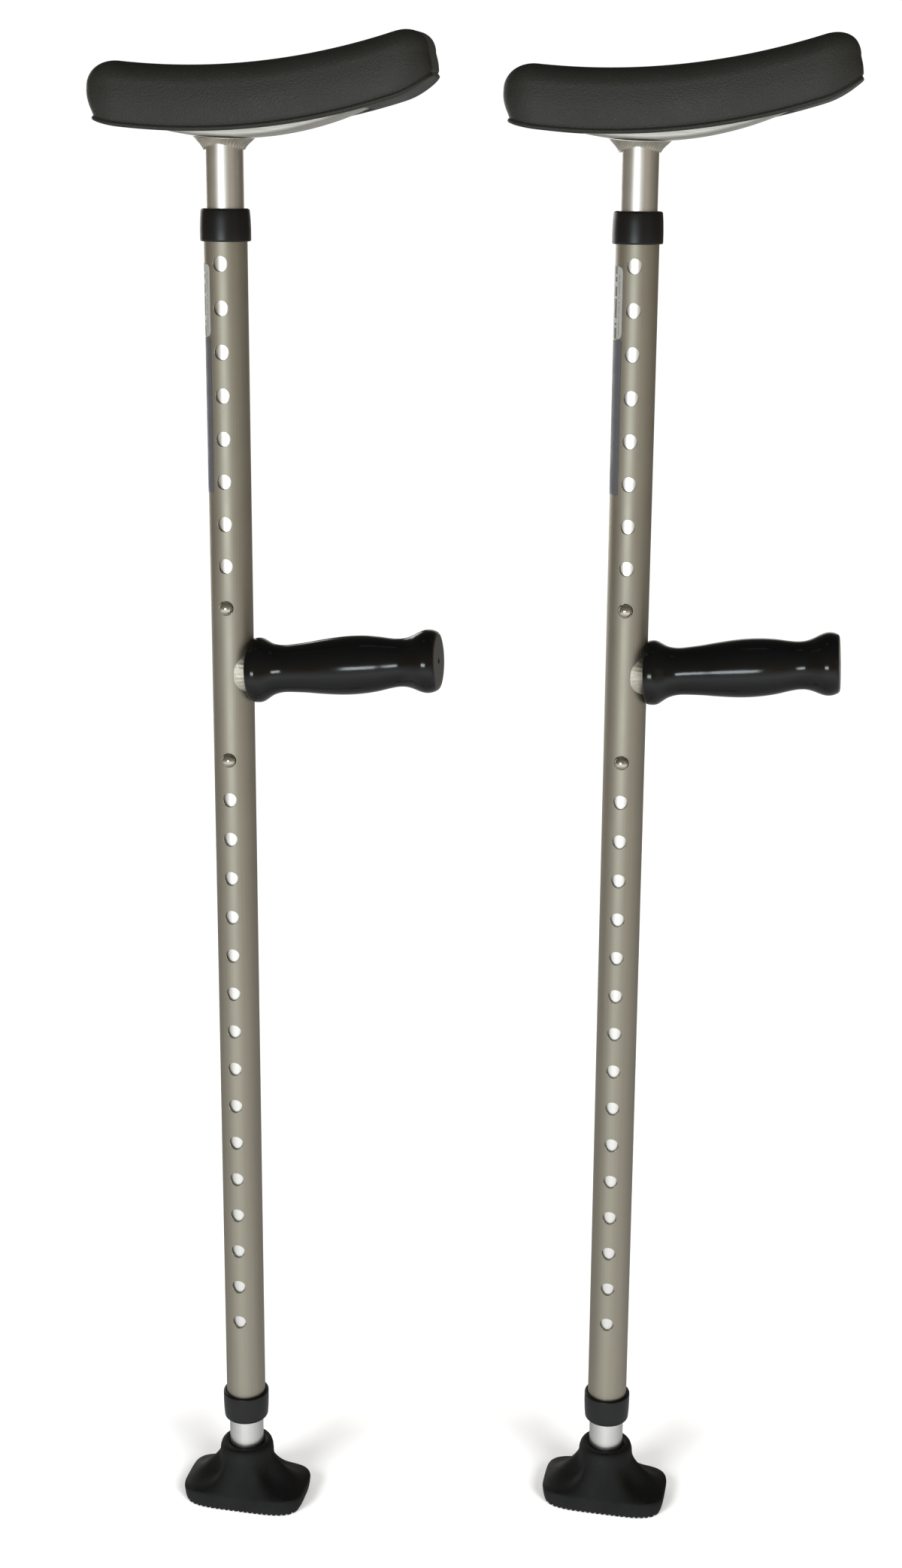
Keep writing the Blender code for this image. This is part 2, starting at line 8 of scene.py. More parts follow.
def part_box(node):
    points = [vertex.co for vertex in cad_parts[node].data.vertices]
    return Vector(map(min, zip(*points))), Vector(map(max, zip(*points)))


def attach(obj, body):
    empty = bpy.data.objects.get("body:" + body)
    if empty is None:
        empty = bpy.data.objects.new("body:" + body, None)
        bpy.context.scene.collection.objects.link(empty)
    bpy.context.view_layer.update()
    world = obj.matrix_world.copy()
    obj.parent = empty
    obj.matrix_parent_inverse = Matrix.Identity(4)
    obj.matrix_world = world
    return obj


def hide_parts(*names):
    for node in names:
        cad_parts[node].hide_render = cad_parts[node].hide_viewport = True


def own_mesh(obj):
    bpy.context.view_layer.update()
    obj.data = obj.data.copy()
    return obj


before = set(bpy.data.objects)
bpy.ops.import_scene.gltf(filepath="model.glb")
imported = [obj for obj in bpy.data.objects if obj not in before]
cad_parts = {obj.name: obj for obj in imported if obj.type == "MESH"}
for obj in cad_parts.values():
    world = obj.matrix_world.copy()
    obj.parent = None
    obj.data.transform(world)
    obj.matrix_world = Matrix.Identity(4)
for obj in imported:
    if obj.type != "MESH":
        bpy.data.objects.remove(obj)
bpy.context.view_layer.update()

# Each crutch is modelled in its own frame, with Z up its post from the sole, X along its handgrip and
# the adjusting holes facing -Y, and is then set down where the CAD has its post. Lengths are in metres.

SIDES = ("left", "right")

# Dimensions -----------------------------------------------------------------------------------------

CLEARANCE = 0.0003
MERGE_DISTANCE = 0.000002                 # points closer than this become one
ON_AXIS = 0.00001                         # radius that stands for a point on an axis
SMOOTH_ANGLE = 38                         # degrees; steeper edges are shaded sharp
PAD_SMOOTH_ANGLE, FOOT_SMOOTH_ANGLE = 60, 45
FINE_STEPS = 96                           # sides of a turned part, unless it has a number of its own

TUBE_STEPS = 128
TUBE_RADIUS, TUBE_BORE = 0.0127, 0.0115
INNER_RADIUS, INNER_BORE = 0.0111, 0.0097
TUBE_END_BAND = 0.00001                   # a face this near the end of a tube is its end face
TUBE_WALL_FACING = 0.985                  # least cosine from radial of a face of the tube's wall
HOLE_STEPS = 40
HOLE_RADIUS = 0.0045
HOLE_PITCH = 0.0254
UPPER_HOLES, LOWER_HOLES = 9, 16
DRILL_Y, DRILL_LENGTH = -0.0115, 0.017    # the drills go through the front wall only

COLLAR_CREST, COLLAR_HEM = 0.0018, -0.0169        # heights from the end of the main tube
COLLAR_RADIUS = (0.01435, 0.0149)                 # at the shoulder and at the hem
COLLAR_FLARE = [(0.0147, -0.0040), (0.0149, -0.0100)]     # radius, height
COLLAR_LIP, COLLAR_SHOULDER, COLLAR_HEM_ROUND = 0.0005, 0.0015, 0.0010    # radii of its rounded edges
COLLAR_CHAMFER = 0.0003

BUTTON_STEPS, BUTTON_DOME_STEP = 64, 6    # the second in degrees
BUTTON_RADIUS = 0.00415
BUTTON_LOOP = 0.0006                      # from the dome's foot to the ring that keeps the barrel straight

LABEL_EDGE, LABEL_SWEEP = 238, 103        # degrees round the post, from +X towards +Y
LABEL_UNDER, LABEL_OVER = 0.00006, 0.00020        # its two faces, above the tube
LABEL_COLUMNS, LABEL_ROWS = 48, 12
SIZE_LABEL_CORNER, STRIP_LABEL_CORNER = 0.0030, 0.0008

GRIP_RISE = math.tan(math.radians(5.9))
GRIP_TILT = 0.061
GRIP_AXIS_Z = 0.5677
GRIP_PROFILE = [(0.0120, 0.0165), (0.0120, 0.0180), (0.0128, 0.0190), (0.0145, 0.0195), (0.0168, 0.0197),
                (0.0188, 0.0194), (0.0208, 0.0184), (0.0232, 0.0169), (0.0260, 0.0155), (0.0296, 0.0146),
                (0.0335, 0.0143), (0.0390, 0.0146), (0.0470, 0.0153), (0.0550, 0.0163), (0.0650, 0.0173),
                (0.0740, 0.0177), (0.0830, 0.0174), (0.0910, 0.0165), (0.0980, 0.0152), (0.1035, 0.0145),
                (0.1082, 0.0147), (0.1124, 0.0159), (0.1160, 0.0175), (0.1190, 0.0186), (0.1215, 0.0190),
                (0.1240, 0.0188), (0.1262, 0.0181), (0.1277, 0.0171), (0.1282, 0.0156)]    # distance, radius
GRIP_CUP = (0.0128, 0.0024)               # radius and depth of the hollow that takes the weld
GRIP_BORE, GRIP_BORE_END = 0.0098, 0.1183
GRIP_END_RINGS = (0.0130, 0.0080, 0.0040)
GRIP_VENT, GRIP_VENT_EDGE = 0.0015, 0.0005

STUB_WELD = (0.0122, 0.0106, 0.0138)      # outer radius, radius at its toe, distance of its toe
STUB_WELD_STEPS, STUB_WELD_RINGS, STUB_WELD_RIPPLES = 240, 10, 30
STUB_WELD_SQUARENESS = 3.2                # exponent of its outline; 2 is a circle
STUB_WELD_TWIST = 2.2                     # how far the ripples turn from post to toe, in radians
STUB_WELD_BEAD = (0.0003, 0.00012)        # swell of the bead, and what the ripples add

PAD_REACH = (-0.0788, 0.1228)
PAD_HALF_WIDTH = 0.0210
PAD_CORNER = (0.0200, 0.0120)             # of the plan outline, along X and Y
PAD_TOP = (-0.016, 0.9236, 0.410)         # lowest point of the top line, and its radius
PAD_BASE = (-0.015, 0.8868, 0.405)        # of the bottom line
PAD_ROUND = (0.0120, 0.0175)              # height of the rounded upper edge, at the sides and the ends
PAD_LIFT = (0.0010, 0.0052)               # of the bottom line at the rear and front ends
PAD_DRAFT = (0.0030, -0.0018, 0.0006)     # how far the base falls short at the rear, the front, the sides
PAD_BULGE = 0.0006
PAD_EASE = 1.5                            # exponent with which the edge and the draft build up
PAD_HEM = [(0.0046, 0.0), (0.0038, 0.0002), (0.0032, 0.0006), (0.0028, 0.0006), (0.0023, 0.0),
           (0.0017, -0.0004), (0.0010, -0.0004), (0.0004, 0.0),
           (0.0, 0.0008)]                 # above the base, inside the wall
PAD_LONG, PAD_SHORT, PAD_CURVE = 46, 6, 12        # points along a side, across an end and round a corner
PAD_CROWN_RINGS = 14
PAD_WALL_RINGS = (0.12, 0.25, 0.4, 0.55, 0.7, 0.85, 1.0)
PAD_BASE_RINGS = (0.8, 0.4, 0.0)
PAD_SLOT_DROP = 0.016                     # how far the cutter for the saddle's slot starts below it

SADDLE_ARC = (0.006, 0.8831, 0.190)
SADDLE_REACH = (-0.046, 0.086)
SADDLE_HALF_WIDTH, SADDLE_THICKNESS = 0.0150, 0.0080
SADDLE_STATIONS, SLOT_STATIONS = 48, 20
SADDLE_EDGE, SADDLE_EDGE_LIFT = 0.0026, 0.0006    # radius of the lower edges, and how high they sit
SADDLE_CROWN = 0.0009                     # how far the underside's middle stands below its sides

SADDLE_WELD_STEPS, SADDLE_WELD_RINGS, SADDLE_WELD_RIPPLES = 288, 14, 46
SADDLE_WELD_FLARE = (0.0020, 0.0040)      # its spread under the saddle at the sides, and more lengthways
SADDLE_WELD_HEIGHT = (0.0030, 0.0032)     # its height on the post, in the same way
SADDLE_WELD_TOE = 0.0007
SADDLE_WELD_BEAD = (0.00015, 0.00042)     # swell of the bead, and what the ripples add
SADDLE_WELD_BORE_LIFT = 0.0001

FOOT_HALF_LENGTH, FOOT_HALF_WIDTH, FOOT_HEIGHT = 0.0412, 0.0244, 0.0405
FOOT_STEPS, FOOT_SLOPE_RINGS = 160, 16
FOOT_SQUARENESS = 4.2                     # exponent of the sole's outline; 2 is an ellipse
FOOT_SKIRT = [(0.0, 0.945), (0.0015, 0.960), (0.0040, 0.975), (0.0066, 0.985), (0.0090, 0.991),
              (0.0102, 0.986)]            # height, share of the outline
FOOT_SKIRT_TOP, FOOT_SPREAD, FOOT_NECK_Z = 0.0110, 0.975, 0.0330
FOOT_HOLLOW = (math.radians(30), math.radians(15))        # where the hollows lie off X, and their width
FOOT_SLOPE = (1.35, 2.7)                  # steepness of the slopes, and what the hollows add
FOOT_NECK_RADIUS = 0.01775
FOOT_RIM = [(0.0044, 0.0002), (0.0028, 0.0006), (0.0016, 0.0010), (0.0007, 0.0016), (0.0001, 0.0026),
            (0.0, 0.0040)]                # below the top, inside the neck's radius
FOOT_MOUTH = [(0.0010, 0.0002), (0.0002, 0.0010), (0.0, 0.0020)]          # outside the bore, below the top
FOOT_BORE_FLOOR = 0.0095
TREAD_COUNT, TREAD_PITCH = 25, 0.00325
TREAD_CUTTER = (0.0014, 0.08, 0.0026)     # half of its height is below the sole


# Shape helpers --------------------------------------------------------------------------------------

def arc_height(x, line):
    """Height at x of a line that curves up from its lowest point."""
    low_x, low_z, radius = line
    return low_z + radius - math.sqrt(radius ** 2 - (x - low_x) ** 2)


def arc(centre, radius, start, stop, count):
    angles = [math.radians(start + (stop - start) * i / (count - 1)) for i in range(count)]
    return [(centre[0] + radius * math.cos(a), centre[1] + radius * math.sin(a)) for a in angles]


def round_angles(steps):
    return [math.tau * i / steps for i in range(steps)]


def smooth_line(points, between):
    """Catmull-Rom points through a profile, with the ends kept."""
    line = []
    for i in range(len(points) - 1):
        a, b, c, d = (Vector(points[min(max(i + k, 0), len(points) - 1)]) for k in (-1, 0, 1, 2))
        for step in range(between):
            t = step / between
            line.append(0.5 * ((2 * b) + (c - a) * t + (2 * a - 5 * b + 4 * c - d) * t ** 2
                               + (3 * b - a - 3 * c + d) * t ** 3))
    return [tuple(p) for p in line] + [tuple(points[-1])]


def loft(name, rings, wrap=False, caps=False):
    """Joins rings of equally many points; wrap joins the last ring to the first."""
    count = len(rings[0])
    points = [tuple(p) for ring in rings for p in ring]
    faces = []
    pairs = [(i, i + 1) for i in range(len(rings) - 1)]
    if wrap:
        pairs.append((len(rings) - 1, 0))
    for lower, upper in pairs:
        for i in range(count):
            j = (i + 1) % count
            faces.append((lower * count + i, lower * count + j, upper * count + j, upper * count + i))
    if caps:
        faces.append(tuple(range(count))[::-1])
        faces.append(tuple((len(rings) - 1) * count + i for i in range(count)))
    mesh = bpy.data.meshes.new(name)
    mesh.from_pydata(points, [], faces)
    return tidy(mesh)


def tidy(mesh, angle=SMOOTH_ANGLE):
    """Merges doubled points, turns the faces outwards and shades the mesh smooth."""
    shape = bmesh.new()
    shape.from_mesh(mesh)
    bmesh.ops.remove_doubles(shape, verts=shape.verts, dist=MERGE_DISTANCE)
    bmesh.ops.recalc_face_normals(shape, faces=shape.faces)
    shape.to_mesh(mesh)
    shape.free()
    return smooth(mesh, angle)


def smooth(mesh, angle):
    mesh.shade_smooth()
    mesh.set_sharp_from_angle(angle=math.radians(angle))
    return mesh


def turned(name, profile, steps=FINE_STEPS, closed=True):
    """A profile of (radius, height) turned round Z."""
    rings = [[(r * math.cos(a), r * math.sin(a), z) for a in round_angles(steps)] for r, z in profile]
    return loft(name, rings, wrap=closed)


def cut(mesh, cutter, angle=SMOOTH_ANGLE):
    """The mesh with the cutter's volume taken away."""
    piece = bpy.data.objects.new("piece", mesh)
    tool = bpy.data.objects.new("tool", cutter)
    for item in (piece, tool):
        bpy.context.scene.collection.objects.link(item)
    boolean = piece.modifiers.new("cut", "BOOLEAN")
    boolean.operation = "DIFFERENCE"
    boolean.solver = "EXACT"
    boolean.object = tool
    bpy.context.view_layer.update()
    result = bpy.data.meshes.new_from_object(piece.evaluated_get(bpy.context.evaluated_depsgraph_get()))
    result.name = mesh.name
    for item in (piece, tool):
        bpy.data.objects.remove(item, do_unlink=True)
    return smooth(result, angle)


# Tubes, collars, buttons and labels -----------------------------------------------------------------

def drills(heights):
    """Cylinders along Y, one for each adjusting hole."""
    shape = bmesh.new()
    for height in heights:
        matrix = Matrix.Translation((0, DRILL_Y, height)) @ Matrix.Rotation(math.radians(90), 4, "X")
        bmesh.ops.create_cone(shape, cap_ends=True, segments=HOLE_STEPS, radius1=HOLE_RADIUS,
                              radius2=HOLE_RADIUS, depth=DRILL_LENGTH, matrix=matrix)
    mesh = bpy.data.meshes.new("drills")
    shape.to_mesh(mesh)
    shape.free()
    return mesh


def tube_mesh(name, outer, bore, low, high, holes):
    """A drilled tube, shaded as a true cylinder."""
    breaks = [low] + [(a + b) / 2 for a, b in zip(holes, holes[1:])] + [high]
    profile = [(outer, z) for z in breaks] + [(bore, z) for z in reversed(breaks)]
    mesh = cut(turned(name, profile, TUBE_STEPS), drills(holes))
    normals = []
    for face in mesh.polygons:
        facing = face.normal.dot(Vector((face.center.x, face.center.y, 0)).normalized())
        for index in face.loop_indices:
            point = mesh.vertices[mesh.loops[index].vertex_index].co
            outward = Vector((point.x, point.y, 0)).normalized()
            if min(abs(face.center.z - low), abs(face.center.z - high)) < TUBE_END_BAND:
                normals.append(face.normal.copy())
            elif abs(facing) > TUBE_WALL_FACING:
                normals.append(outward if facing > 0 else -outward)
            else:
                nearest = min(holes, key=lambda z: abs(z - point.z))
                normals.append(Vector((-point.x, 0, nearest - point.z)).normalized())
    mesh.normals_split_custom_set(normals)
    return mesh


def collar_mesh(name, upward):
    """A cap that closes over the end of the main tube; heights from that end."""
    bore, sleeve = INNER_RADIUS + CLEARANCE, TUBE_RADIUS + CLEARANCE
    shoulder, skirt = COLLAR_RADIUS
    profile = [(bore, CLEARANCE), (bore, COLLAR_CREST - COLLAR_LIP)]
    profile += arc((bore + COLLAR_LIP, COLLAR_CREST - COLLAR_LIP), COLLAR_LIP, 180, 90, 4)
    profile += arc((shoulder - COLLAR_SHOULDER, COLLAR_CREST - COLLAR_SHOULDER), COLLAR_SHOULDER, 90, 8, 8)
    profile += COLLAR_FLARE
    profile += arc((skirt - COLLAR_HEM_ROUND, COLLAR_HEM + COLLAR_HEM_ROUND), COLLAR_HEM_ROUND, 0, -90, 7)
    profile += [(sleeve + COLLAR_CHAMFER, COLLAR_HEM), (sleeve, COLLAR_HEM + COLLAR_CHAMFER),
                (sleeve, CLEARANCE)]
    direction = 1 if upward else -1
    return turned(name, [(r, z * direction) for r, z in profile])


def button_mesh(name, base, top):
    """A straight barrel along -Y, with a dome from the tube's surface outwards."""
    dome = [(BUTTON_RADIUS * math.cos(math.radians(a)),
             TUBE_RADIUS + (top - TUBE_RADIUS) * math.sin(math.radians(a)))
            for a in range(0, 90, BUTTON_DOME_STEP)]
    barrel = [(ON_AXIS, base), (BUTTON_RADIUS, base), (BUTTON_RADIUS, TUBE_RADIUS - BUTTON_LOOP)]
    mesh = turned(name, barrel + dome + [(ON_AXIS, top)], BUTTON_STEPS, closed=False)
    mesh.transform(Matrix.Rotation(math.radians(90), 4, "X"))
    return mesh


def label_mesh(name, low, high, corner):
    """A sheet wrapped round the tube, with rounded corners."""
    under, over = TUBE_RADIUS + LABEL_UNDER, TUBE_RADIUS + LABEL_OVER
    rings = []
    for i in range(LABEL_COLUMNS + 1):
        share = i / LABEL_COLUMNS
        angle = math.radians(LABEL_EDGE - LABEL_SWEEP * share)
        from_side = min(share, 1 - share) * math.radians(LABEL_SWEEP) * TUBE_RADIUS
        inside = max(corner - from_side, 0.0)
        short = corner - math.sqrt(max(corner ** 2 - inside ** 2, 0.0))
        rows = [low + short + (high - low - 2 * short) * k / LABEL_ROWS for k in range(LABEL_ROWS + 1)]
        ring = [(over * math.cos(angle), over * math.sin(angle), z) for z in rows]
        ring += [(under * math.cos(angle), under * math.sin(angle), z) for z in reversed(rows)]
        rings.append(ring)
    return loft(name, rings, caps=True)


# Handle ---------------------------------------------------------------------------------------------

def on_handle(distance, radius, angle):
    """A point of the handle: its axis climbs, and its turned sections lean towards the post."""
    up = radius * math.cos(angle)
    return [distance - GRIP_TILT * up, radius * math.sin(angle), GRIP_AXIS_Z + up + GRIP_RISE * distance]


def clear_of_post(point, radius):
    """Pushes a point out of the post, along X."""
    if abs(point[1]) < radius:
        point[0] = max(point[0], math.sqrt(radius ** 2 - point[1] ** 2))
    return point


def grip_mesh():
    """A contoured grip with a vent in its end, a bore for the stub and a cup for the weld."""
    cup_radius, cup_depth = GRIP_CUP
    start, start_radius = GRIP_PROFILE[0]
    end = GRIP_PROFILE[-1][0]
    face = [(end, radius) for radius in GRIP_END_RINGS]
    face += [(end, GRIP_VENT + GRIP_VENT_EDGE), (end - GRIP_VENT_EDGE, GRIP_VENT), (GRIP_BORE_END, GRIP_VENT),
             (GRIP_BORE_END, GRIP_BORE), (start + cup_depth, GRIP_BORE), (start + cup_depth, cup_radius),
             (start, cup_radius), (start, (cup_radius + start_radius) / 2)]
    rings = []
    for distance, radius in smooth_line(GRIP_PROFILE, 5) + face:
        ring = [on_handle(distance, radius, angle) for angle in round_angles(FINE_STEPS)]
        rings.append([clear_of_post(p, TUBE_RADIUS + 2 * CLEARANCE) for p in ring])
    return loft("grip", rings, wrap=True)


def stub_root(y):
    """Distance from the post's axis to its surface at y."""
    return math.sqrt(max((TUBE_RADIUS + CLEARANCE * 0.5) ** 2 - y ** 2, 0.0))


def stub_weld_mesh():
    """A rippled bead between the post and the stub that carries the grip."""
    outer, toe, reach = STUB_WELD
    power, (bead, ripple) = STUB_WELD_SQUARENESS, STUB_WELD_BEAD
    angles = round_angles(STUB_WELD_STEPS)
    rings = []
    for share in [i / STUB_WELD_RINGS for i in range(STUB_WELD_RINGS + 1)]:
        ring = []
        for angle in angles:
            square = (abs(math.cos(angle)) ** power + abs(math.sin(angle)) ** power) ** (-1 / power)
            wide = outer * square
            root = stub_root(wide * math.sin(angle)) + GRIP_TILT * wide * math.cos(angle)
            swell = math.sin(math.pi * share) ** 0.8
            wave = 0.5 + 0.5 * math.cos(STUB_WELD_RIPPLES * angle + STUB_WELD_TWIST * share)
            radius = wide + (toe - wide) * share + swell * (bead + ripple * wave)
            ring.append(on_handle(root + (reach - root) * share, radius, angle))
        rings.append(ring)
    for share in (1.0, 0.0):
        ring = []
        for angle in angles:
            root = stub_root(GRIP_BORE * math.sin(angle)) + GRIP_TILT * GRIP_BORE * math.cos(angle)
            ring.append(on_handle(root + (reach - root) * share, GRIP_BORE, angle))
        rings.append(ring)
    return loft("stub_weld", rings, wrap=True)


# Pad, saddle and the weld under it ------------------------------------------------------------------

def pad_core():
    """The rectangle inside the plan outline's corners: its ends along X and its half width."""
    return PAD_REACH[0] + PAD_CORNER[0], PAD_REACH[1] - PAD_CORNER[0], PAD_HALF_WIDTH - PAD_CORNER[1]


def pad_outline():
    """The plan outline, as a point of the core rectangle and an offset from it."""
    reach_x, reach_y = PAD_CORNER
    x0, x1, y1 = pad_core()
    sides = [((x1, -y1), (x1, y1), PAD_SHORT, (reach_x, 0)), ((x1, y1), (x0, y1), PAD_LONG, (0, reach_y)),
             ((x0, y1), (x0, -y1), PAD_SHORT, (-reach_x, 0)), ((x0, -y1), (x1, -y1), PAD_LONG, (0, -reach_y))]
    outline = []
    for number, (start, stop, count, offset) in enumerate(sides):
        for i in range(count):
            t = i / count
            core = (start[0] + (stop[0] - start[0]) * t, start[1] + (stop[1] - start[1]) * t)
            outline.append((core, offset))
        for i in range(PAD_CURVE):
            angle = math.radians(90) * (number + i / PAD_CURVE)
            outline.append((stop, (reach_x * math.cos(angle), reach_y * math.sin(angle))))
    return outline


def pad_point(core, offset, rho, drop, wall, inset):
    """X, Y and the heights of the pad's top and base there.

    rho runs from the core to the outline, drop down the rounded upper edge, and wall from that edge
    to the base.
    """
    endness = offset[0] / PAD_CORNER[0]
    sideness = offset[1] / PAD_CORNER[1]
    x, y = core[0] + offset[0] * rho, core[1] + offset[1] * rho
    edge = PAD_ROUND[0] + (PAD_ROUND[1] - PAD_ROUND[0]) * abs(endness) ** PAD_EASE
    top = arc_height(x, PAD_TOP) - edge * drop
    base = arc_height(x, PAD_BASE) + PAD_LIFT[endness > 0] * (endness * rho) ** 2
    short = wall ** PAD_EASE
    x -= (PAD_DRAFT[endness > 0] * short + inset) * endness
    y -= (PAD_DRAFT[2] * short + inset) * sideness
    return x, y, top, base


def pad_ring(outline, rho, drop, wall, inset, height):
    """One ring of the pad; height gives Z from the top and the base."""
    ring = []
    for core, offset in outline:
        x, y, top, base = pad_point(core, offset, rho, drop, wall, inset)
        ring.append((x, y, height(top, base)))
    return ring


def pad_mesh():
    """A crowned pad with a hem bead round its foot, and a slot below for the saddle."""
    outline = pad_outline()
    hem_height = PAD_HEM[0][0]
    rings = []
    for step in range(PAD_CROWN_RINGS + 1):
        rho = math.sin(math.radians(90) * step / PAD_CROWN_RINGS)
        drop = 1 - math.sqrt(max(1 - rho ** 2, 0))
        rings.append(pad_ring(outline, rho, drop, 0, 0, lambda top, base: top))
    for wall in PAD_WALL_RINGS:
        bulge = -PAD_BULGE * math.sin(math.pi * wall)
        rings.append(pad_ring(outline, 1, 1, wall, bulge,
                              lambda top, base: top + (base + hem_height - top) * wall))
    for height, inset in PAD_HEM[1:]:
        rings.append(pad_ring(outline, 1, 1, 1, inset, lambda top, base: base + height))
    for rho in PAD_BASE_RINGS:
        rings.append(pad_ring(outline, rho, 1, rho, 0, lambda top, base: base))
    mesh = loft("pad", rings)

    x0, x1, y1 = pad_core()
    shape = bmesh.new()
    shape.from_mesh(mesh)
    for line in (PAD_TOP, PAD_BASE):
        grid = []
        for i in range(PAD_LONG + 1):
            x = x0 + (x1 - x0) * i / PAD_LONG
            grid.append([shape.verts.new((x, -y1 + 2 * y1 * j / PAD_SHORT, arc_height(x, line)))
                         for j in range(PAD_SHORT + 1)])
        for i in range(PAD_LONG):
            for j in range(PAD_SHORT):
                shape.faces.new((grid[i][j], grid[i + 1][j], grid[i + 1][j + 1], grid[i][j + 1]))
    shape.to_mesh(mesh)
    shape.free()
    tidy(mesh, PAD_SMOOTH_ANGLE)
    slot = [saddle_ring(x, -PAD_SLOT_DROP, SADDLE_THICKNESS + CLEARANCE, SADDLE_HALF_WIDTH + CLEARANCE, None)
            for x in saddle_stations(SLOT_STATIONS, CLEARANCE)]
    return cut(mesh, loft("slot", slot, caps=True), PAD_SMOOTH_ANGLE)


def saddle_stations(count, extra=0.0):
    low, high = SADDLE_REACH[0] - extra, SADDLE_REACH[1] + extra
    return [low + (high - low) * i / count for i in range(count + 1)]


def saddle_ring(x, lower, upper, half_width, edge):
    """A section square to the saddle's arc; with an edge radius its underside is crowned."""
    low_x, _, radius = SADDLE_ARC
    lean = math.asin((x - low_x) / radius)
    foot = Vector((x, 0, arc_height(x, SADDLE_ARC)))
    up = Vector((-math.sin(lean), 0, math.cos(lean)))
    if edge is None:
        section = [(-half_width, upper), (half_width, upper), (half_width, lower), (-half_width, lower)]
    else:
        flank = arc((half_width - edge, lower + edge + SADDLE_EDGE_LIFT), edge, 0, -80, 8)
        crown = [(half_width * a, lower + SADDLE_CROWN * a ** 2) for a in (0.62, 0.42, 0.2, 0)]
        right = [(half_width, upper), *flank, *crown]
        section = right + [(-y, z) for y, z in reversed(right[:-1])]
    return [foot + Vector((0, y, 0)) + up * z for y, z in section]


def saddle_mesh():
    rings = [saddle_ring(x, 0, SADDLE_THICKNESS, SADDLE_HALF_WIDTH, SADDLE_EDGE)
             for x in saddle_stations(SADDLE_STATIONS)]
    return loft("saddle", rings, caps=True)


def saddle_weld_point(angle, radius, lengthways, share, lift=0.0):
    """A point of the weld: share runs from its toe on the post up to the saddle."""
    x, y = radius * math.cos(angle), radius * math.sin(angle)
    height = SADDLE_WELD_HEIGHT[0] + SADDLE_WELD_HEIGHT[1] * lengthways
    top = arc_height(0.0, SADDLE_ARC) - CLEARANCE
    ceiling = arc_height(x, SADDLE_ARC) - CLEARANCE
    return x, y, top - height + lift + (ceiling - top + height - lift) * share


def saddle_weld_mesh():
    """A rippled fillet between the post and the saddle, longer ahead of the post and behind it."""
    bore = INNER_RADIUS + CLEARANCE
    bead, ripple = SADDLE_WELD_BEAD
    around = [(angle, abs(math.cos(angle)) ** 1.4) for angle in round_angles(SADDLE_WELD_STEPS)]
    rings = []
    for share in [i / SADDLE_WELD_RINGS for i in range(SADDLE_WELD_RINGS + 1)]:
        curve = 1 - math.cos(math.radians(90) * share)
        swell = math.sin(math.pi * min(share * 1.05, 1)) ** 0.7
        ring = []
        for angle, lengthways in around:
            flare = SADDLE_WELD_FLARE[0] + SADDLE_WELD_FLARE[1] * lengthways
            wave = 0.5 + 0.5 * math.cos(SADDLE_WELD_RIPPLES * angle + 1.5 * math.sin(3 * angle))
            radius = bore + SADDLE_WELD_TOE + flare * curve + swell * (bead + ripple * wave)
            ring.append(saddle_weld_point(angle, radius, lengthways, share))
        rings.append(ring)
    for share in (1.0, 0.0):
        rings.append([saddle_weld_point(angle, bore, lengthways, share, SADDLE_WELD_BORE_LIFT)
                      for angle, lengthways in around])
    return loft("saddle_weld", rings, wrap=True)


# Foot -----------------------------------------------------------------------------------------------

def foot_reach(angle):
    """Distance of the sole's outline from the post's axis."""
    across = abs(math.cos(angle)) / FOOT_HALF_LENGTH
    along = abs(math.sin(angle)) / FOOT_HALF_WIDTH
    return (across ** FOOT_SQUARENESS + along ** FOOT_SQUARENESS) ** (-1 / FOOT_SQUARENESS)


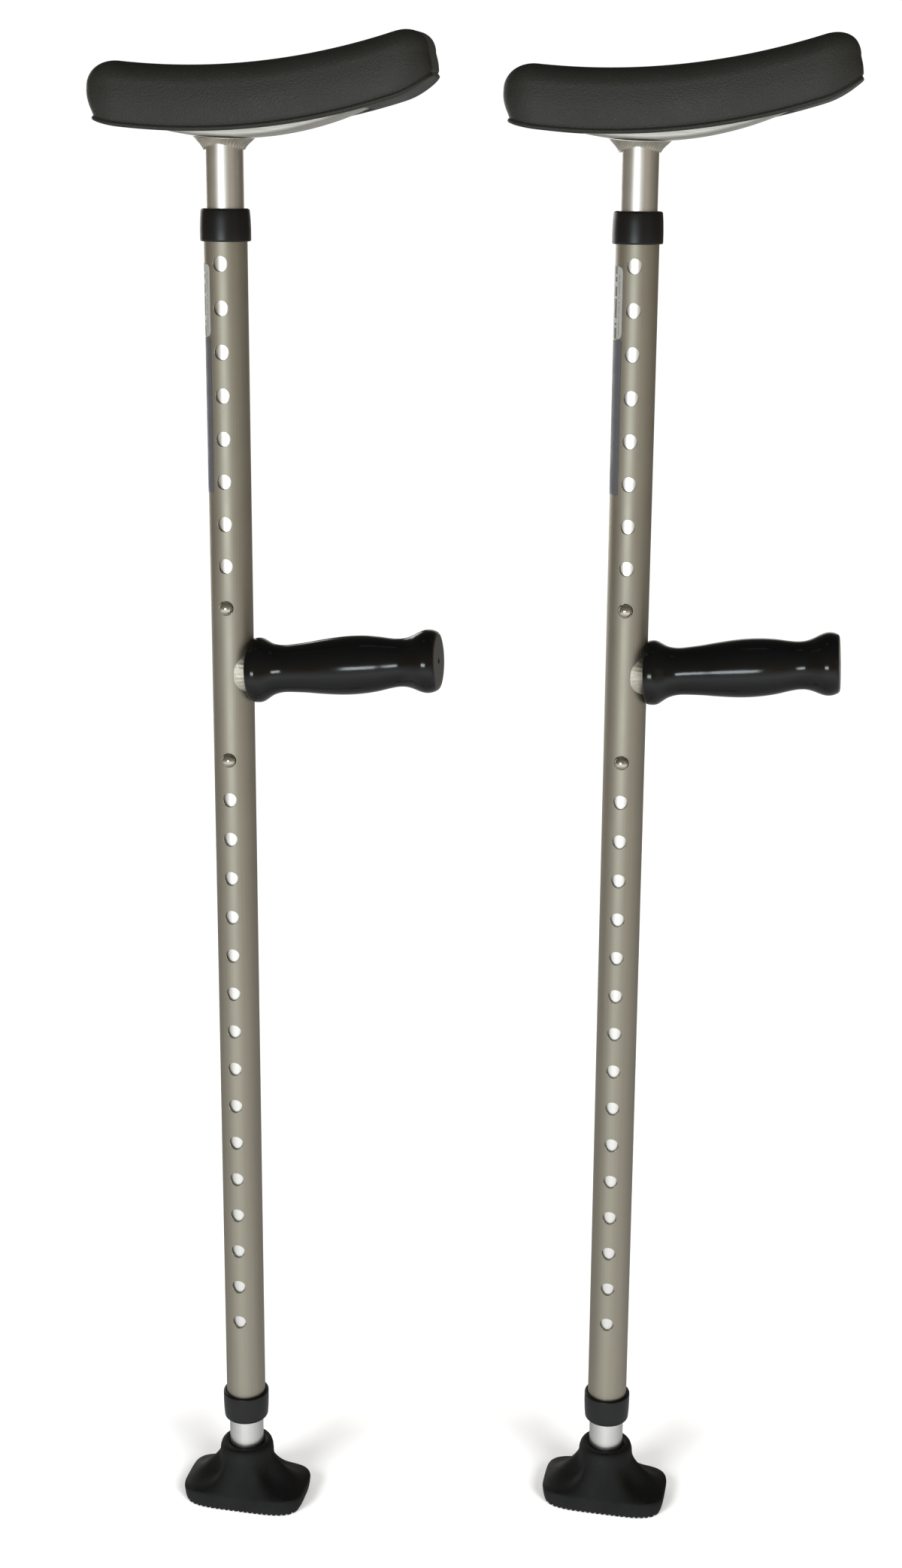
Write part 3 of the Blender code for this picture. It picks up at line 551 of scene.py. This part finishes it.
def foot_mesh():
    """A skirt, slopes up to a round neck from its ends and sides, and four hollows between them."""
    angles = round_angles(FOOT_STEPS)
    rings = [[(foot_reach(a) * share * math.cos(a), foot_reach(a) * share * math.sin(a), z) for a in angles]
             for z, share in FOOT_SKIRT]
    for rise in [i / FOOT_SLOPE_RINGS for i in range(FOOT_SLOPE_RINGS + 1)]:
        ring = []
        for a in angles:
            folded = math.atan2(abs(math.sin(a)), abs(math.cos(a)))
            hollow = math.exp(-((folded - FOOT_HOLLOW[0]) / FOOT_HOLLOW[1]) ** 2)
            steepness = FOOT_SLOPE[0] + FOOT_SLOPE[1] * hollow
            spread = foot_reach(a) * FOOT_SPREAD - FOOT_NECK_RADIUS
            reach = FOOT_NECK_RADIUS + spread * (1 - rise) ** steepness
            ring.append((reach * math.cos(a), reach * math.sin(a),
                         FOOT_SKIRT_TOP + rise * (FOOT_NECK_Z - FOOT_SKIRT_TOP)))
        rings.append(ring)
    bore = INNER_RADIUS + CLEARANCE
    neck = [(FOOT_NECK_RADIUS - inside, FOOT_HEIGHT - below) for below, inside in FOOT_RIM]
    neck += [(bore + outside, FOOT_HEIGHT - below) for outside, below in FOOT_MOUTH]
    neck += [(bore, FOOT_BORE_FLOOR), (ON_AXIS, FOOT_BORE_FLOOR)]
    rings += [[(r * math.cos(a), r * math.sin(a), z) for a in angles] for r, z in neck]
    mesh = loft("foot", rings)

    shape = bmesh.new()
    shape.from_mesh(mesh)
    sole = [v for v in shape.verts if v.co.z < MERGE_DISTANCE]
    bmesh.ops.contextual_create(shape, geom=sole)
    bmesh.ops.recalc_face_normals(shape, faces=shape.faces)
    shape.to_mesh(mesh)
    shape.free()

    tread = bmesh.new()
    for i in range(TREAD_COUNT):
        x = (i - TREAD_COUNT // 2) * TREAD_PITCH
        bmesh.ops.create_cube(tread, size=1, matrix=Matrix.Translation((x, 0, 0))
                              @ Matrix.Diagonal((*TREAD_CUTTER, 1)))
    grooves = bpy.data.meshes.new("grooves")
    tread.to_mesh(grooves)
    tread.free()
    return cut(mesh, grooves, FOOT_SMOOTH_ANGLE)


# Materials ------------------------------------------------------------------------------------------

class Finish:
    """One material; each method adds a node to it and gives its output."""

    def __init__(self, name, slot, metallic=0.0):
        self.slot = slot
        self.material = bpy.data.materials.new(name)
        self.material.use_nodes = True
        self.tree = self.material.node_tree
        self.shader = self.tree.nodes["Principled BSDF"]
        self.shader.inputs["Metallic"].default_value = metallic
        self.place = self.node("ShaderNodeTexCoord", {}).outputs["Object"]

    def node(self, kind, inputs, **settings):
        made = self.tree.nodes.new(kind)
        for key, value in settings.items():
            setattr(made, key, value)
        for key, value in inputs.items():
            self.feed(made.inputs[key], value)
        return made

    def feed(self, socket, value):
        if isinstance(value, bpy.types.NodeSocket):
            self.tree.links.new(value, socket)
        else:
            socket.default_value = value

    def scaled(self, *scale):
        """Object coordinates, stretched: a small scale draws a pattern out along that axis."""
        return self.node("ShaderNodeMapping", {"Vector": self.place, "Scale": scale}).outputs[0]

    def noise(self, scale, detail, roughness=0.55, vector=None):
        inputs = {"Vector": vector or self.place, "Scale": scale, "Detail": detail, "Roughness": roughness}
        return self.node("ShaderNodeTexNoise", inputs).outputs["Fac"]

    def cells(self, scale, vector=None, feature="F1"):
        return self.node("ShaderNodeTexVoronoi", {"Vector": vector or self.place, "Scale": scale},
                         feature=feature).outputs["Distance"]

    def spread(self, value, start, end, low, high):
        """Carries start..end over to low..high, and stops there."""
        inputs = {"Value": value, "From Min": start, "From Max": end, "To Min": low, "To Max": high}
        return self.node("ShaderNodeMapRange", inputs).outputs["Result"]

    def maths(self, operation, a, b=0.0):
        return self.node("ShaderNodeMath", {0: a, 1: b}, operation=operation).outputs[0]

    def mix(self, share, a, b):
        inputs = {"Fac": share, "Color1": colour(a), "Color2": colour(b)}
        return self.node("ShaderNodeMixRGB", inputs).outputs["Color"]

    def bump(self, height, distance, strength, under=None):
        """A bump of so many metres; under is the bump that it lies on."""
        inputs = {"Height": height, "Distance": distance, "Strength": strength}
        if under is not None:
            inputs["Normal"] = under
        return self.node("ShaderNodeBump", inputs).outputs["Normal"]

    def done(self, **inputs):
        for key, value in inputs.items():
            self.feed(self.shader.inputs[key.replace("_", " ")], value)
        return self


def colour(value):
    return value if isinstance(value, bpy.types.NodeSocket) else (*value, 1.0)


def drawn_metal(slot, name, dark, light, roughness, grain):
    """Metal tube drawn along Z: fine lengthways lines, faint smudges and a few scratches."""
    f = Finish(name, slot, 1.0)
    lines = f.noise(1.0, 4, 0.6, f.scaled(1400, 1400, 9))
    smudge = f.noise(26, 4, 0.6)
    speck = f.spread(f.noise(900, 2), 0.68, 0.76, 0, 1)
    scratch = f.spread(f.noise(1.0, 2, 0.5, f.scaled(2600, 2600, 28)), 0.70, 0.78, 0, 1)
    base = f.mix(f.spread(f.maths("ADD", lines, smudge), 0.7, 1.3, 0, 1), dark, light)
    base = f.mix(f.maths("MULTIPLY", speck, 0.35), base, [c * 0.55 for c in dark])
    rough = f.maths("ADD", f.spread(smudge, 0.3, 0.7, *roughness), f.maths("MULTIPLY", scratch, 0.08))
    fine = f.bump(lines, 0.00002 * grain, 0.5)
    return f.done(Base_Color=base, Roughness=rough, Normal=f.bump(scratch, 0.00002, 0.4, fine))


def moulded(slot, dark, light, roughness, grain, depth, dust):
    """Moulded black plastic or rubber: a fine grain, smudges, and dust that stays in the grain."""
    f = Finish(slot, slot)
    pits = f.noise(grain, 4, 0.6)
    smudge = f.noise(38, 5, 0.65)
    cover = f.maths("MULTIPLY", f.spread(f.noise(420, 3), 0.52, 0.78, 0, 1), dust)
    base = f.mix(f.spread(smudge, 0.3, 0.7, 0, 1), dark, light)
    base = f.mix(cover, base, [c * 4.5 for c in light])
    rough = f.maths("ADD", f.spread(smudge, 0.3, 0.72, *roughness), f.maths("MULTIPLY", cover, 0.3))
    return f.done(Base_Color=base, Roughness=rough, Normal=f.bump(pits, depth, 0.7))


def pad_skin():
    """Self-skinned foam with a pebbled surface, a little worn and dusty, with painted shade between the
    pebbles.
    """
    f = Finish("pad_skin", "pad_rubber")
    warp = f.noise(300, 2)
    shift = f.node("ShaderNodeVectorMath", {0: (0.0012, 0.0012, 0.0012), "Scale": warp}, operation="SCALE")
    warped = f.node("ShaderNodeVectorMath", {0: f.place, 1: shift.outputs[0]}, operation="ADD")
    pebbles = f.cells(1250, warped.outputs[0], "SMOOTH_F1")
    fine = f.noise(2600, 3)
    smudge = f.noise(30, 5, 0.6)
    base = f.mix(f.spread(smudge, 0.3, 0.7, 0, 1), (0.039, 0.0383, 0.0318), (0.051, 0.0498, 0.0420))
    # painted shade: the base darkens in the hollows between the pebbles, where the bump below is lowest
    base = f.mix(f.spread(pebbles, 0.25, 0.75, 0, 0.55), base, (0.026, 0.0255, 0.021))
    flecks = f.spread(f.noise(700, 2), 0.66, 0.75, 0, 0.35)
    base = f.mix(flecks, base, (0.15, 0.15, 0.135))
    low = f.bump(f.maths("SUBTRACT", 1.0, pebbles), 0.00022, 0.75)
    return f.done(Base_Color=base, Roughness=f.spread(smudge, 0.3, 0.7, 0.46, 0.60),
                  Normal=f.bump(fine, 0.00004, 0.6, low))


def weld_metal():
    """A dull bead with a gritty skin."""
    f = Finish("weld_metal", "weld_metal", 1.0)
    cloud = f.noise(240, 4, 0.6)
    grit = f.noise(1800, 3)
    base = f.mix(f.spread(cloud, 0.35, 0.7, 0, 1), (0.66, 0.62, 0.53), (0.54, 0.49, 0.40))
    return f.done(Base_Color=base, Roughness=f.spread(grit, 0.3, 0.7, 0.40, 0.55),
                  Normal=f.bump(grit, 0.00006, 0.6))


def saddle_metal():
    """A plate with a satin, lightly pitted face."""
    f = Finish("saddle_metal", "saddle_metal", 1.0)
    along = f.noise(1.0, 4, 0.6, f.scaled(30, 900, 900))
    pits = f.cells(900)
    smudge = f.noise(45, 4)
    base = f.mix(f.spread(smudge, 0.3, 0.7, 0, 1), (0.66, 0.64, 0.58), (0.76, 0.74, 0.68))
    return f.done(Base_Color=base, Roughness=f.spread(along, 0.3, 0.7, 0.50, 0.62),
                  Normal=f.bump(pits, 0.00003, 0.5, f.bump(along, 0.00003, 0.5)))


def bright_steel():
    """Polished steel, rubbed round by the holes that it passes through."""
    f = Finish("bright_steel", "bright_steel", 1.0)
    rub = f.noise(1.0, 3, 0.6, f.scaled(500, 60, 1500))
    smudge = f.noise(500, 3)
    base = f.mix(f.spread(smudge, 0.3, 0.7, 0, 1), (0.74, 0.68, 0.56), (0.82, 0.78, 0.70))
    return f.done(Base_Color=base, Roughness=f.spread(rub, 0.3, 0.7, 0.10, 0.22),
                  Normal=f.bump(rub, 0.00001, 0.5))


def printed(slot, paper, ink, line_height, mark_width, margin):
    """A coated paper label with rows of marks that spell nothing, up to a margin on each side."""
    f = Finish(slot, slot)
    split = f.node("ShaderNodeSeparateXYZ", {0: f.place}).outputs
    angle = f.maths("ARCTAN2", split["Y"], f.maths("MULTIPLY", split["X"], -1.0))
    round_post = f.maths("MULTIPLY", angle, TUBE_RADIUS)
    row = f.maths("DIVIDE", round_post, line_height)
    column = f.maths("DIVIDE", split["Z"], mark_width)
    cell = f.node("ShaderNodeCombineXYZ", {0: f.maths("FLOOR", row), 1: f.maths("FLOOR", column)}).outputs[0]
    chance = f.node("ShaderNodeTexWhiteNoise", {"Vector": cell}).outputs["Value"]
    in_row = f.maths("PINGPONG", row, 0.5)
    mark = f.maths("MULTIPLY", f.maths("GREATER_THAN", in_row, 0.24), f.maths("GREATER_THAN", chance, 0.42))
    mark = f.maths("MULTIPLY", mark, f.maths("LESS_THAN", f.maths("ABSOLUTE", round_post), margin))
    worn = f.noise(60, 4)
    base = f.mix(f.spread(worn, 0.3, 0.7, 0, 1), paper, [c * 0.88 for c in paper])
    return f.done(Base_Color=f.mix(f.maths("MULTIPLY", mark, 0.85), base, ink),
                  Roughness=f.spread(worn, 0.3, 0.7, 0.36, 0.55),
                  Normal=f.bump(f.noise(1500, 2), 0.00002, 0.4))


FINISHES = {finish.slot: finish for finish in (
    drawn_metal("champagne_tube", "champagne_anodised", dark=(0.482, 0.446, 0.366),
                light=(0.546, 0.510, 0.425), roughness=(0.50, 0.57), grain=1),
    drawn_metal("bright_tube", "bright_aluminium", dark=(0.78, 0.765, 0.735),
                light=(0.86, 0.845, 0.815), roughness=(0.30, 0.38), grain=1.5),
    saddle_metal(), weld_metal(), bright_steel(), pad_skin(),
    moulded("collar_plastic", dark=(0.0045, 0.0045, 0.0048), light=(0.0075, 0.0075, 0.0080),
            roughness=(0.30, 0.40), grain=1500, depth=0.00003, dust=0.08),
    moulded("grip_vinyl", dark=(0.0034, 0.0034, 0.0038), light=(0.0050, 0.0050, 0.0055),
            roughness=(0.11, 0.18), grain=420, depth=0.00003, dust=0.03),
    moulded("foot_rubber", dark=(0.0060, 0.0064, 0.0070), light=(0.0092, 0.0097, 0.0103),
            roughness=(0.60, 0.80), grain=1250, depth=0.00022, dust=0.30),
    printed("white_label", paper=(0.86, 0.85, 0.81), ink=(0.03, 0.03, 0.035),
            line_height=0.0046, mark_width=0.0014, margin=0.0106),
    printed("blue_label", paper=(0.215, 0.215, 0.245), ink=(0.04, 0.04, 0.05),
            line_height=0.0066, mark_width=0.0024, margin=0.0080),
)}


# Pieces ---------------------------------------------------------------------------------------------

def add(name, data):
    item = bpy.data.objects.new(name, data)
    bpy.context.scene.collection.objects.link(item)
    return item


def finish_mesh(mesh, finish_slot):
    """A copy of a mesh with one finish all over."""
    copy = mesh.copy()
    copy.materials.clear()
    copy.materials.append(FINISHES[finish_slot].material)
    return copy


def post_of(side):
    """The post's axis on the ground."""
    low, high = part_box(f"{side}_main_tube")
    return Vector(((low.x + high.x) / 2, (low.y + high.y) / 2, 0))


def place(side, name, mesh, body, finish_slot, height=0.0):
    """Sets a copy of a mesh down on one crutch, where the CAD piece of the same name is."""
    piece = add(f"{side}_{name}_skin", finish_mesh(mesh, finish_slot))
    piece.location = post_of(side) + Vector((0, 0, height))
    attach(piece, f"{side}_{body}")
    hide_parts(f"{side}_{name}")
    return piece


def span(node):
    low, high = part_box(node)
    return low.z, high.z


def middle(node):
    low, high = span(node)
    return (low + high) / 2


main_span, post_span, leg_span = (span(f"left_{name}_tube") for name in ("main", "upper", "lower"))
upper_button_z, lower_button_z = middle("left_upper_button"), middle("left_lower_button")
holes = sorted([upper_button_z + i * HOLE_PITCH for i in range(UPPER_HOLES)]
               + [lower_button_z - i * HOLE_PITCH for i in range(LOWER_HOLES)])
button_low, button_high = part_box("left_upper_button")
post_y = post_of("left").y
button_reach = post_y - button_high.y, post_y - button_low.y

# Name, mesh, body and slot, and the height where it goes if its mesh isn't drawn at its own height.
MESHES = [
    ("main_tube", tube_mesh("main_tube", TUBE_RADIUS, TUBE_BORE, *main_span, holes),
     "frame", "champagne_tube"),
    ("upper_tube", tube_mesh("upper_tube", INNER_RADIUS, INNER_BORE, *post_span, [upper_button_z]),
     "post", "bright_tube"),
    ("lower_tube", tube_mesh("lower_tube", INNER_RADIUS, INNER_BORE, *leg_span, [lower_button_z]),
     "leg", "bright_tube"),
    ("upper_collar", collar_mesh("upper_collar", True), "frame", "collar_plastic", main_span[1]),
    ("lower_collar", collar_mesh("lower_collar", False), "frame", "collar_plastic", main_span[0]),
    ("upper_button", button_mesh("upper_button", *button_reach),
     "post_button", "bright_steel", upper_button_z),
    ("lower_button", button_mesh("lower_button", *button_reach),
     "leg_button", "bright_steel", lower_button_z),
    ("size_label", label_mesh("size_label", *span("left_size_label"), SIZE_LABEL_CORNER),
     "frame", "white_label"),
    ("strip_label", label_mesh("strip_label", *span("left_strip_label"), STRIP_LABEL_CORNER),
     "frame", "blue_label"),
    ("hand_grip", grip_mesh(), "frame", "grip_vinyl"),
    ("handle_weld", stub_weld_mesh(), "frame", "weld_metal"),
    ("armrest_saddle", saddle_mesh(), "post", "saddle_metal"),
    ("armrest_weld", saddle_weld_mesh(), "post", "weld_metal"),
    ("underarm_pad", pad_mesh(), "post", "pad_rubber"),
    ("foot_tip", foot_mesh(), "leg", "foot_rubber"),
]
for side in SIDES:
    for name, *details in MESHES:
        piece = place(side, name, *details)
    for name, body, joint in (("upper_spring", "post", "post_button_press"),
                              ("lower_spring", "leg", "leg_button_press")):
        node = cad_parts[f"{side}_{name}"]
        leaf = add(f"{side}_{name}_leaf", finish_mesh(node.data, "bright_steel"))
        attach(leaf, f"{side}_{body}")
        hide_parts(f"{side}_{name}")
        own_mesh(leaf)
    for name, finish_slot in (("foot_washer", "bright_steel"), ("handle_stub", "bright_tube")):
        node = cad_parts[f"{side}_{name}"]
        for material_slot in node.material_slots:
            material_slot.material = FINISHES[finish_slot].material

MIDDLE = (post_of("left") + post_of("right")) / 2


# Floor ----------------------------------------------------------------------------------------------

FLOOR_RADIUS, FLOOR_STEPS = 2.2, 128
FLOOR_DROP = 0.0002                       # keeps the floor off the soles


def floor_mesh():
    shape = bmesh.new()
    bmesh.ops.create_circle(shape, cap_ends=True, segments=FLOOR_STEPS, radius=FLOOR_RADIUS)
    mesh = bpy.data.meshes.new("floor")
    shape.to_mesh(mesh)
    shape.free()
    return mesh


floor = add("floor", floor_mesh())
floor.location = MIDDLE - Vector((0, 0, FLOOR_DROP))
paper = Finish("paper_floor", "floor")
fibres = paper.noise(900, 4, 0.6)
floor.data.materials.append(paper.done(
    Base_Color=paper.mix(fibres, (0.90, 0.895, 0.89), (0.93, 0.93, 0.93)), Roughness=0.9,
    Normal=paper.bump(fibres, 0.00005, 0.2)).material)
floor.visible_diffuse = floor.visible_glossy = floor.visible_shadow = False


# Lights ---------------------------------------------------------------------------------------------

def group(name, items):
    made = bpy.data.collections.new(name)
    for item in items:
        made.objects.link(item)
    return made


def skins(*names):
    return [bpy.data.objects[f"{side}_{name}_skin"] for side in SIDES for name in names]


only_floor = group("only_floor", [floor])
but_floor = group("but_floor", [floor])
but_floor.collection_objects[0].light_linking.link_state = "EXCLUDE"
inner_tubes = group("inner_tubes", skins("upper_tube", "lower_tube"))
low_parts = group("low_parts", skins("foot_tip", "lower_collar"))


def direction(azimuth, elevation):
    """Towards a light: azimuth 0 is in front of the crutches, and 90 is on their right."""
    a, e = math.radians(azimuth), math.radians(elevation)
    return Vector((math.sin(a) * math.cos(e), -math.cos(a) * math.cos(e), math.sin(e)))


def sun(name, azimuth, elevation, strength, spread):
    """Soft light for the floor, which only the low parts shade, so that its shadows stay short."""
    light = bpy.data.lights.new(name, "SUN")
    light.energy = strength
    light.angle = math.radians(spread)
    item = add(name, light)
    item.rotation_euler = direction(azimuth, elevation).to_track_quat("Z", "Y").to_euler()
    item.light_linking.receiver_collection = only_floor
    item.light_linking.blocker_collection = low_parts


def softbox(name, azimuth, distance, height, size, radiance, tint, receivers=but_floor):
    """An upright soft panel that faces the crutches and leaves the floor alone."""
    light = bpy.data.lights.new(name, "AREA")
    light.shape = "RECTANGLE"
    light.size, light.size_y = size
    light.energy = radiance * math.pi * size[0] * size[1]
    light.color = tint
    item = add(name, light)
    item.location = MIDDLE + direction(azimuth, 0) * distance + Vector((0, 0, height))
    item.rotation_euler = direction(azimuth, 0).to_track_quat("Z", "Y").to_euler()
    item.visible_camera = False
    item.light_linking.receiver_collection = receivers


sun("floor_sun_left", azimuth=-27, elevation=32, strength=2.6, spread=24)
sun("floor_sun_right", azimuth=41, elevation=32, strength=2.6, spread=24)
sun("floor_sun_top", azimuth=0, elevation=88, strength=0.95, spread=120)
softbox("key_panel", azimuth=-6, distance=3.0, height=0.44, size=(1.25, 0.50), radiance=10.0,
        tint=(0.84, 0.95, 1.0))
softbox("tube_panel", azimuth=-2, distance=3.0, height=-0.15, size=(3.9, 2.4), radiance=0.54,
        tint=(0.97, 0.99, 1.0), receivers=inner_tubes)
softbox("left_fill", azimuth=-140, distance=3.2, height=0.9, size=(2.0, 2.0), radiance=2.0,
        tint=(1.0, 0.99, 0.97))
softbox("right_fill", azimuth=60, distance=3.2, height=0.9, size=(1.2, 1.6), radiance=0.12,
        tint=(1.0, 0.90, 0.78))
softbox("back_fill", azimuth=180, distance=3.2, height=1.0, size=(1.6, 1.6), radiance=0.5,
        tint=(1.0, 0.98, 0.95))

# The room: a white backdrop for the camera, and for everything else soft tones by height, which are a
# little brighter on the right and much brighter in front.
ROOM_TONES = ((0.0, (0.30, 0.30, 0.29)), (0.25, (0.58, 0.595, 0.61)), (0.36, (0.40, 0.395, 0.38)),
              (0.47, (0.18, 0.145, 0.098)), (0.70, (0.12, 0.115, 0.10)), (1.0, (0.08, 0.08, 0.08)))
ROOM_SIDEWAYS = (-1, 1, 0.85, 1.1)        # from these values of X to these levels
ROOM_FORWARD = (-1, 0.5, 1.7, 0.7)        # the same for Y
BACKDROP_LEVEL = 1.05

world = bpy.data.worlds.new("studio")
bpy.context.scene.world = world
world.use_nodes = True
nodes, links = world.node_tree.nodes, world.node_tree.links
nodes.clear()


def ranged(value, *limits):
    made = nodes.new("ShaderNodeMapRange")
    for key, limit in zip(("From Min", "From Max", "To Min", "To Max"), limits):
        made.inputs[key].default_value = limit
    links.new(value, made.inputs["Value"])
    return made.outputs["Result"]


way = nodes.new("ShaderNodeTexCoord")
parts = nodes.new("ShaderNodeSeparateXYZ")
links.new(way.outputs["Generated"], parts.inputs[0])
tones = nodes.new("ShaderNodeValToRGB")
links.new(ranged(parts.outputs["Z"], -1, 1, 0, 1), tones.inputs["Fac"])
ramp = tones.color_ramp
for element, (position, tone) in zip(ramp.elements, (ROOM_TONES[0], ROOM_TONES[-1])):
    element.position, element.color = position, colour(tone)
for position, tone in ROOM_TONES[1:-1]:
    ramp.elements.new(position).color = colour(tone)
level = nodes.new("ShaderNodeMath")
level.operation = "MULTIPLY"
links.new(ranged(parts.outputs["X"], *ROOM_SIDEWAYS), level.inputs[0])
links.new(ranged(parts.outputs["Y"], *ROOM_FORWARD), level.inputs[1])
room = nodes.new("ShaderNodeBackground")
links.new(tones.outputs["Color"], room.inputs["Color"])
links.new(level.outputs[0], room.inputs["Strength"])
backdrop = nodes.new("ShaderNodeBackground")
backdrop.inputs["Color"].default_value = (1, 1, 1, 1)
backdrop.inputs["Strength"].default_value = BACKDROP_LEVEL
ray = nodes.new("ShaderNodeLightPath")
choose = nodes.new("ShaderNodeMixShader")
links.new(ray.outputs["Is Camera Ray"], choose.inputs["Fac"])
links.new(room.outputs[0], choose.inputs[1])
links.new(backdrop.outputs[0], choose.inputs[2])
output = nodes.new("ShaderNodeOutputWorld")
links.new(choose.outputs[0], output.inputs["Surface"])

bpy.context.scene.view_settings.view_transform = "Standard"


# Camera ---------------------------------------------------------------------------------------------

VIEW_AZIMUTH, VIEW_PITCH, VIEW_ROLL = (math.radians(angle) for angle in (11.5, 13.87, 0.39))
CAMERA_OFFSET, CAMERA_DISTANCE, CAMERA_HEIGHT = 0.0131, 1.292, 0.8675     # the first to its right
LENS_LENGTH, SENSOR_WIDTH, LENS_SHIFT = 49.8, 36, -0.0515                 # mm, mm, share of the sensor

right = Vector((math.cos(VIEW_AZIMUTH), math.sin(VIEW_AZIMUTH), 0))
towards = Vector((math.sin(VIEW_AZIMUTH), -math.cos(VIEW_AZIMUTH), 0))
sight = -towards * math.cos(VIEW_PITCH) - Vector((0, 0, math.sin(VIEW_PITCH)))
roll = Matrix.Rotation(VIEW_ROLL, 3, "Z")

lens = bpy.data.cameras.new("camera")
lens.sensor_width = SENSOR_WIDTH
lens.lens = LENS_LENGTH
lens.shift_y = LENS_SHIFT
camera = add("camera", lens)
camera.location = MIDDLE + right * CAMERA_OFFSET + towards * CAMERA_DISTANCE + Vector((0, 0, CAMERA_HEIGHT))
camera.rotation_euler = (sight.to_track_quat("-Z", "Y").to_matrix() @ roll).to_euler()
bpy.context.scene.camera = camera
